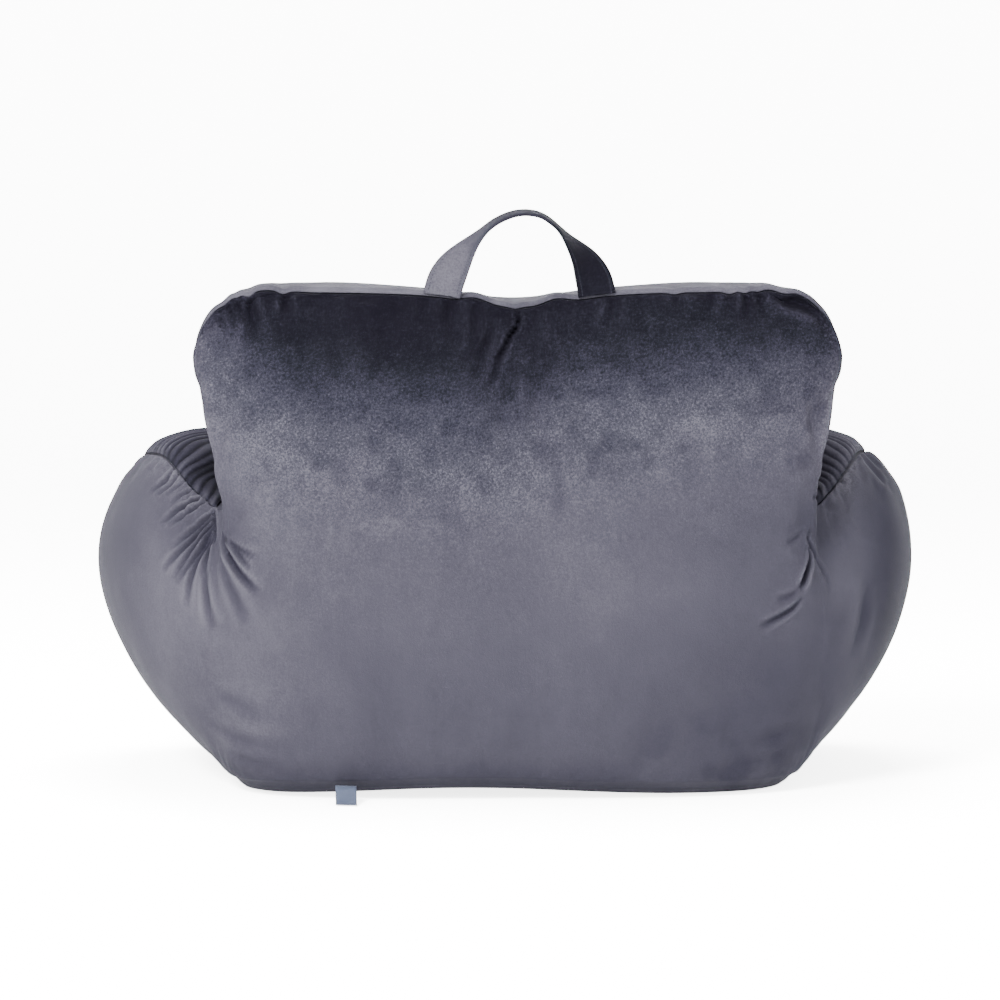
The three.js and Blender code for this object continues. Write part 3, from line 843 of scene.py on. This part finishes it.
def bagPileAndPaintedLight(points, part, folded):
    x, z = points[..., 0], points[..., 2]
    below = belowEdge(points) + 12 * pointNoise(points, 64, 41) + 9 * pointNoise(points, 22, 42)
    # painted shade: the dark band under the top seam, partly the pile's lie
    nap = np.interp(below, pileAndLightPlan["below"], pileAndLightPlan["shade"])
    # painted highlight at the backrest's sides, painted shade to the right away from the key light with a
    # painted lighter left side, and painted shade towards the base seam where the panel curves under
    nap = nap + 0.12 * smooth(np.abs(x), 278, 308) * smooth(z, 290, 340)
    nap = nap * (1 - 0.14 * smooth(x, 60, 260) * smooth(-z, -340, -240) + 0.08 * smooth(-x, 130, 270))
    shadeAtBase = (0.22 - 0.20 * smooth(x, 80, 130)) * smooth(-z, -52, -8)
    nap = nap * (1 - 0.06 * smooth(-z, -190, -60) - shadeAtBase)
    # painted light and shade on the arms: the right arm lighter just past its crook, and both darker
    # towards their outer sides as they turn from the light, the right one more
    nap = nap * (1 + 0.22 * smooth(x, 285, 308) * smooth(z, 160, 220)) * (1 - 0.52 * smooth(x, 318, 372))
    nap = nap * (1 - 0.17 * smooth(-x, 330, 395))
    # a lighter patch high on the right, and painted shade in the crooks
    nap = nap * (1 + 0.14 * np.exp(-((x - 150) / 85) ** 2 - ((z - 362) / 32) ** 2))
    crook = np.hypot(np.abs(x) - 300, z - 255)
    nap = nap * (1 - 0.22 * np.exp(-(crook / 42) ** 2))
    # hand marks low on the right and under the dark band's edge
    marks = smooth(pointNoise(points, 26, 44), 0.0, 0.3) * smooth(x, 60, 150) * smooth(-z, -90, -40)
    nap = nap * (1 - 0.14 * marks)
    brushed = smooth(below, 0, 30) * (1 - smooth(below, 90, 150))
    nap = nap * (1 - 0.16 * smooth(pointNoise(points, 17, 51), 0.2, 0.5) * brushed)
    nap = nap + 0.05 * pointNoise(points, 110, 45) + 0.035 * pointNoise(points, 34, 50)
    # painted shade in the folds' valleys and painted highlight on their ridges
    nap = nap - np.clip(-folded * pileAndLightPlan["fold"], 0, pileAndLightPlan["foldMost"]) * np.clip(nap, 0.1, 1)
    nap = nap + pileAndLightPlan["ridgeLight"] * np.clip(folded, 0, 2)
    return np.where(part == "front", np.clip(0.85 + 0.12 * pointNoise(points, 80, 46), 0, 1), nap)


bagLight = bagPileAndPaintedLight(skin, part[None, :], folded)
stirred = np.interp(belowEdge(skin), pileAndLightPlan["stirredAt"], pileAndLightPlan["stirred"])
addFloats(cushion, "nap", np.r_[bagLight.ravel(), 0.8, 0.8])  # the last two are the toes' middles
addFloats(cushion, "restless", np.r_[stirred.ravel(), 0.2, 0.2])
for name, (sheetObject, area, run) in sheets.items():
    spots = np.array([v.co for v in sheetObject.data.vertices]) / mm
    if name == "top_strip":
        # painted light on the top strip: lighter than the panels where it faces up to the lamps, painted
        # shade to the right away from the key light and where it runs down to the crooks
        light = 1.14 - 0.09 * smooth(spots[:, 0], 30, 150) + 0.08 * pointNoise(spots, 60, 47)
        light = light - 0.25 * smooth(-spots[:, 2], -430, -330) + 0.16 * pointNoise(spots, 19, 52)
    else:
        # the arm strips' tone, with painted light on their pleats' tops and painted shade in their
        # hollows
        light = (0.62 if "left" in name else 0.72) + 0.06 * pointNoise(spots, 40, 48) + pleatLight[name]
    addFloats(sheetObject, "nap", light)
    addFloats(sheetObject, "restless", np.full(len(spots), 0.3))
spots = np.array([v.co for v in handle.data.vertices]) / mm
# painted light on the strap: its left leg painted lighter where it faces the key light, its right leg
# painted shade where it turns away, its top in between
legLight = 1.14 - 0.70 * smooth(spots[:, 0], -62, -14) - 0.34 * smooth(spots[:, 0], 10, 50)
addFloats(handle, "nap", legLight + 0.07 * pointNoise(spots, 24, 49))
addFloats(handle, "restless", np.full(len(spots), 0.4))


class Wire:
    # a node's output that takes part in plain sums
    def __init__(self, finish, socket):
        self.finish = finish
        self.socket = socket

    def sum(self, operation, first, second):
        return self.finish.node("ShaderNodeMath", dict(operation=operation), {0: first, 1: second})

    def __add__(self, other):
        return self.sum("ADD", self, other)

    def __radd__(self, other):
        return self.sum("ADD", other, self)

    def __sub__(self, other):
        return self.sum("SUBTRACT", self, other)

    def __rsub__(self, other):
        return self.sum("SUBTRACT", other, self)

    def __mul__(self, other):
        return self.sum("MULTIPLY", self, other)

    def __rmul__(self, other):
        return self.sum("MULTIPLY", other, self)

    def __truediv__(self, other):
        return self.sum("DIVIDE", self, other)

    def __gt__(self, other):
        return self.sum("GREATER_THAN", self, other)

    def __lt__(self, other):
        return self.sum("LESS_THAN", self, other)


class Finish:
    # a material and its nodes
    def __init__(self, name):
        self.material = bpy.data.materials.new(name)
        self.material.use_nodes = True
        self.tree = self.material.node_tree
        self.shader = self.tree.nodes["Principled BSDF"]

    def put(self, socket, value):
        if isinstance(value, Wire):
            self.tree.links.new(value.socket, socket)
        else:
            socket.default_value = value

    def node(self, kind, settings=None, values=None, output=0):
        made = self.tree.nodes.new(kind)
        for key, value in (settings or {}).items():
            if key == "stops":
                ramp = made.color_ramp.elements
                while len(ramp) < len(value):
                    ramp.new(0.5)
                for element, (spot, colour) in zip(ramp, value):
                    element.position = spot
                    element.color = colour
            else:
                setattr(made, key, value)
        for key, value in (values or {}).items():
            self.put(made.inputs[key], value)
        return Wire(self, made.outputs[output])

    def surface(self, **values):
        # a socket's name with its spaces as underlines
        for key, value in values.items():
            self.put(self.shader.inputs[key.replace("_", " ")], value)

    def noise(self, where, scale, detail=2.0, rough=0.5):
        return self.node("ShaderNodeTexNoise", {}, {"Vector": where, "Scale": scale, "Detail": detail,
                                                    "Roughness": rough}, "Fac")

    def stretched(self, where, scale):
        return self.node("ShaderNodeMapping", {}, {"Vector": where, "Scale": scale})

    def blend(self, factor, first, second):
        settings = dict(data_type="RGBA", blend_type="MIX")
        return self.node("ShaderNodeMix", settings, {0: factor, 6: first, 7: second}, 2)

    def clamped(self, value, low=0.0, high=1.0):
        return self.node("ShaderNodeClamp", {}, {"Value": value, "Min": low, "Max": high})

    def size(self, value):
        return self.node("ShaderNodeMath", dict(operation="ABSOLUTE"), {0: value})


pile = dict(
    # the velvet's colours, from the darkest painted shade to the lightest painted highlight, picked by
    # how light each point is painted
    tones=[
        (0.00, (0.0007, 0.0006, 0.0012, 1)), (0.22, (0.0015, 0.0015, 0.0023, 1)),
        (0.40, (0.0033, 0.0031, 0.0050, 1)), (0.56, (0.0052, 0.0050, 0.0072, 1)),
        (0.68, (0.0069, 0.0066, 0.0090, 1)), (0.80, (0.0089, 0.0085, 0.0113, 1)),
        (1.00, (0.0169, 0.0163, 0.0200, 1)),
    ],
    reach=1.25, grain=460, fine=1100, streak=(150, 150, 34), patch=13, blotch=46,
    grainMix=0.85, blotchMix=0.5, patchMix=0.10, streakMix=0.08, bump=0.5, bumpDepth=0.0006,
    sheen=0.003, sheenRough=0.45, sheenTint=(0.80, 0.79, 1.0, 1), gloss=0.01,
)
stitching = dict(pitch=3.0, share=0.72, half=0.42,
                 thread=(0.012, 0.012, 0.016, 1), holeShade=(0.001, 0.001, 0.002, 1))


def velvetFinish(name, stitched=False):
    finish = Finish(name)
    where = finish.node("ShaderNodeTexCoord", {}, {}, "Object")
    # the pile's own tone together with its painted light and shade
    nap = finish.node("ShaderNodeAttribute", dict(attribute_name="nap"), {}, "Fac")
    grain = finish.noise(where, pile["grain"], 3.0, 0.7) - 0.5
    fine = finish.noise(where, pile["fine"], 1.0, 0.5) - 0.5
    patch = finish.noise(where, pile["patch"], 5.0, 0.6) - 0.5
    blotch = finish.noise(where, pile["blotch"], 3.0, 0.6) - 0.5
    streak = finish.noise(finish.stretched(where, pile["streak"]), 1.0, 3.0, 0.6) - 0.5
    restless = finish.node("ShaderNodeAttribute", dict(attribute_name="restless"), {}, "Fac")
    # the pile's tone and painted light and shade, stirred by noise, pick the colour
    pileLieAndLight = nap + patch * pile["patchMix"] + streak * pile["streakMix"]
    pileLieAndLight = pileLieAndLight + ((grain * 2 + fine) * pile["grainMix"] + blotch * pile["blotchMix"]) * restless
    pileLieAndLight = pileLieAndLight / pile["reach"]
    colour = finish.node("ShaderNodeValToRGB", dict(stops=pile["tones"]), {"Fac": pileLieAndLight}, "Color")
    height = grain * 0.6 + fine * 0.4 + streak * 0.35
    if stitched:
        # a row of stitches along each edge of the strap
        across = finish.node("ShaderNodeAttribute", dict(attribute_name="across"), {}, "Fac")
        down = finish.node("ShaderNodeAttribute", dict(attribute_name="down"), {}, "Fac")
        off = finish.size(finish.size(across) - (strap["width"] / 2 - strap["stitchIn"]))
        along = finish.node("ShaderNodeMath", dict(operation="FRACT"), {0: down / stitching["pitch"]})
        stitch = (off < stitching["half"]) * (along < stitching["share"])
        # painted shade in the needle holes between the stitches
        holeShade = (off < stitching["half"]) * (along > stitching["share"])
        colour = finish.blend(stitch * 0.3, colour, stitching["thread"])
        colour = finish.blend(holeShade * 0.8, colour, stitching["holeShade"])
        height = height + stitch * 0.8 - holeShade * 1.2
    bump = finish.node("ShaderNodeBump", {}, {"Strength": pile["bump"], "Distance": pile["bumpDepth"],
                                              "Height": height})
    finish.surface(Base_Color=colour, Roughness=finish.clamped(0.86 + grain * 0.3, 0.6, 1.0), Normal=bump,
                   Sheen_Weight=pile["sheen"], Sheen_Roughness=pile["sheenRough"],
                   Sheen_Tint=pile["sheenTint"], Specular_IOR_Level=pile["gloss"])
    return finish.material


satin = dict(colour=(0.018, 0.022, 0.034, 1), shade=(0.012, 0.015, 0.024, 1), rib=(2600, 260, 260),
             warp=(300, 2400, 2400), cloud=90, bump=0.35, bumpDepth=0.0002, sheen=0.01, gloss=0.25)


def satinFinish(name):
    finish = Finish(name)
    where = finish.node("ShaderNodeTexCoord", {}, {}, "Object")
    rib = finish.noise(finish.stretched(where, satin["rib"]), 1.0, 1.0, 0.5) - 0.5
    warp = finish.noise(finish.stretched(where, satin["warp"]), 1.0, 1.0, 0.5) - 0.5
    cloud = finish.noise(where, satin["cloud"], 3.0, 0.5)
    colour = finish.blend(finish.clamped(cloud + rib * 0.9), satin["shade"], satin["colour"])
    bump = finish.node("ShaderNodeBump", {}, {"Strength": satin["bump"], "Distance": satin["bumpDepth"],
                                              "Height": rib + warp * 0.6})
    finish.surface(Base_Color=colour, Roughness=finish.clamped(0.4 + warp * 0.25), Normal=bump,
                   Sheen_Weight=satin["sheen"], Specular_IOR_Level=satin["gloss"])
    return finish.material


velvet = velvetFinish("velvet")
gathered = velvetFinish("gathered_velvet")
stitchedVelvet = velvetFinish("stitched_velvet", stitched=True)
cushion.data.materials.append(velvet)
sheets["top_strip"][0].data.materials.append(velvet)
for word in ("left", "right"):
    sheets["arm_strip_" + word][0].data.materials.append(gathered)
handle.data.materials.append(stitchedVelvet)
ribbon.data.materials.append(satinFinish("satin"))
print("velvet and satin laid")


# a pale floor that curves up far away, soft light, and the camera

studio = dict(flat=5.5, bend=2.5, rise=5.0, sides=48, world=4.6, glow=3.8)
profile = [(0.0, 0.0), (studio["flat"], 0.0)]
profile += [(studio["flat"] + studio["bend"] * math.sin(a), studio["bend"] * (1 - math.cos(a)))
            for a in np.linspace(0.1, math.pi / 2, 8)]
profile.append((studio["flat"] + studio["bend"], studio["rise"]))
sides = studio["sides"]
floorTurns = [2 * math.pi * k / sides for k in range(sides)]
floorPoints = [(0.0, 0.0, 0.0)]
for r, z in profile[1:]:
    floorPoints += [(r * math.cos(turn), r * math.sin(turn), z) for turn in floorTurns]
floorFaces = [(0, 1 + k, 1 + (k + 1) % sides) for k in range(sides)]
for ring in range(len(profile) - 2):
    at = 1 + ring * sides
    for k in range(sides):
        after = (k + 1) % sides
        floorFaces.append((at + k, at + sides + k, at + sides + after, at + after))
floor = meshObject("floor", np.array(floorPoints), floorFaces)
paper = Finish("paper")
paper.surface(Base_Color=(0.9, 0.9, 0.9, 1), Roughness=0.95, Specular_IOR_Level=0.0,
              Emission_Color=(1, 1, 1, 1), Emission_Strength=studio["glow"])
floor.data.materials.append(paper.material)

world = bpy.data.worlds.new("studio")
bpy.context.scene.world = world
world.use_nodes = True
world.node_tree.nodes["Background"].inputs["Color"].default_value = (1, 1, 1, 1)
world.node_tree.nodes["Background"].inputs["Strength"].default_value = studio["world"]

lights = dict(
    key=dict(place=(-1.7, -2.9, 2.5), size=1.1, power=1350),
    fill=dict(place=(2.4, -2.6, 1.2), size=2.4, power=130),
    top=dict(place=(0.0, 0.6, 2.8), size=1.6, power=400),
)
lightsAim = Vector((0, 0, 0.25))
for name, at in lights.items():
    lamp = bpy.data.lights.new(name, "AREA")
    lamp.size = at["size"]
    lamp.energy = at["power"]
    light = bpy.data.objects.new(name, lamp)
    light.location = at["place"]
    light.rotation_euler = (lightsAim - light.location).to_track_quat("-Z", "Y").to_euler()
    bpy.context.scene.collection.objects.link(light)

view = dict(azimuth=-2.9, elevation=4.2, distance=3.8, target=(-0.019, -0.2, 0.2885), width=0.95)
azimuth, elevation = math.radians(view["azimuth"]), math.radians(view["elevation"])
towards = Vector((math.sin(azimuth) * math.cos(elevation), -math.cos(azimuth) * math.cos(elevation),
                  math.sin(elevation)))
cameraData = bpy.data.cameras.new("camera")
cameraData.sensor_fit = "HORIZONTAL"
cameraData.angle = 2 * math.atan(view["width"] / 2 / view["distance"])
camera = bpy.data.objects.new("camera", cameraData)
camera.location = Vector(view["target"]) + towards * view["distance"]
camera.rotation_euler = (-towards).to_track_quat("-Z", "Y").to_euler()
bpy.context.scene.collection.objects.link(camera)
bpy.context.scene.camera = camera
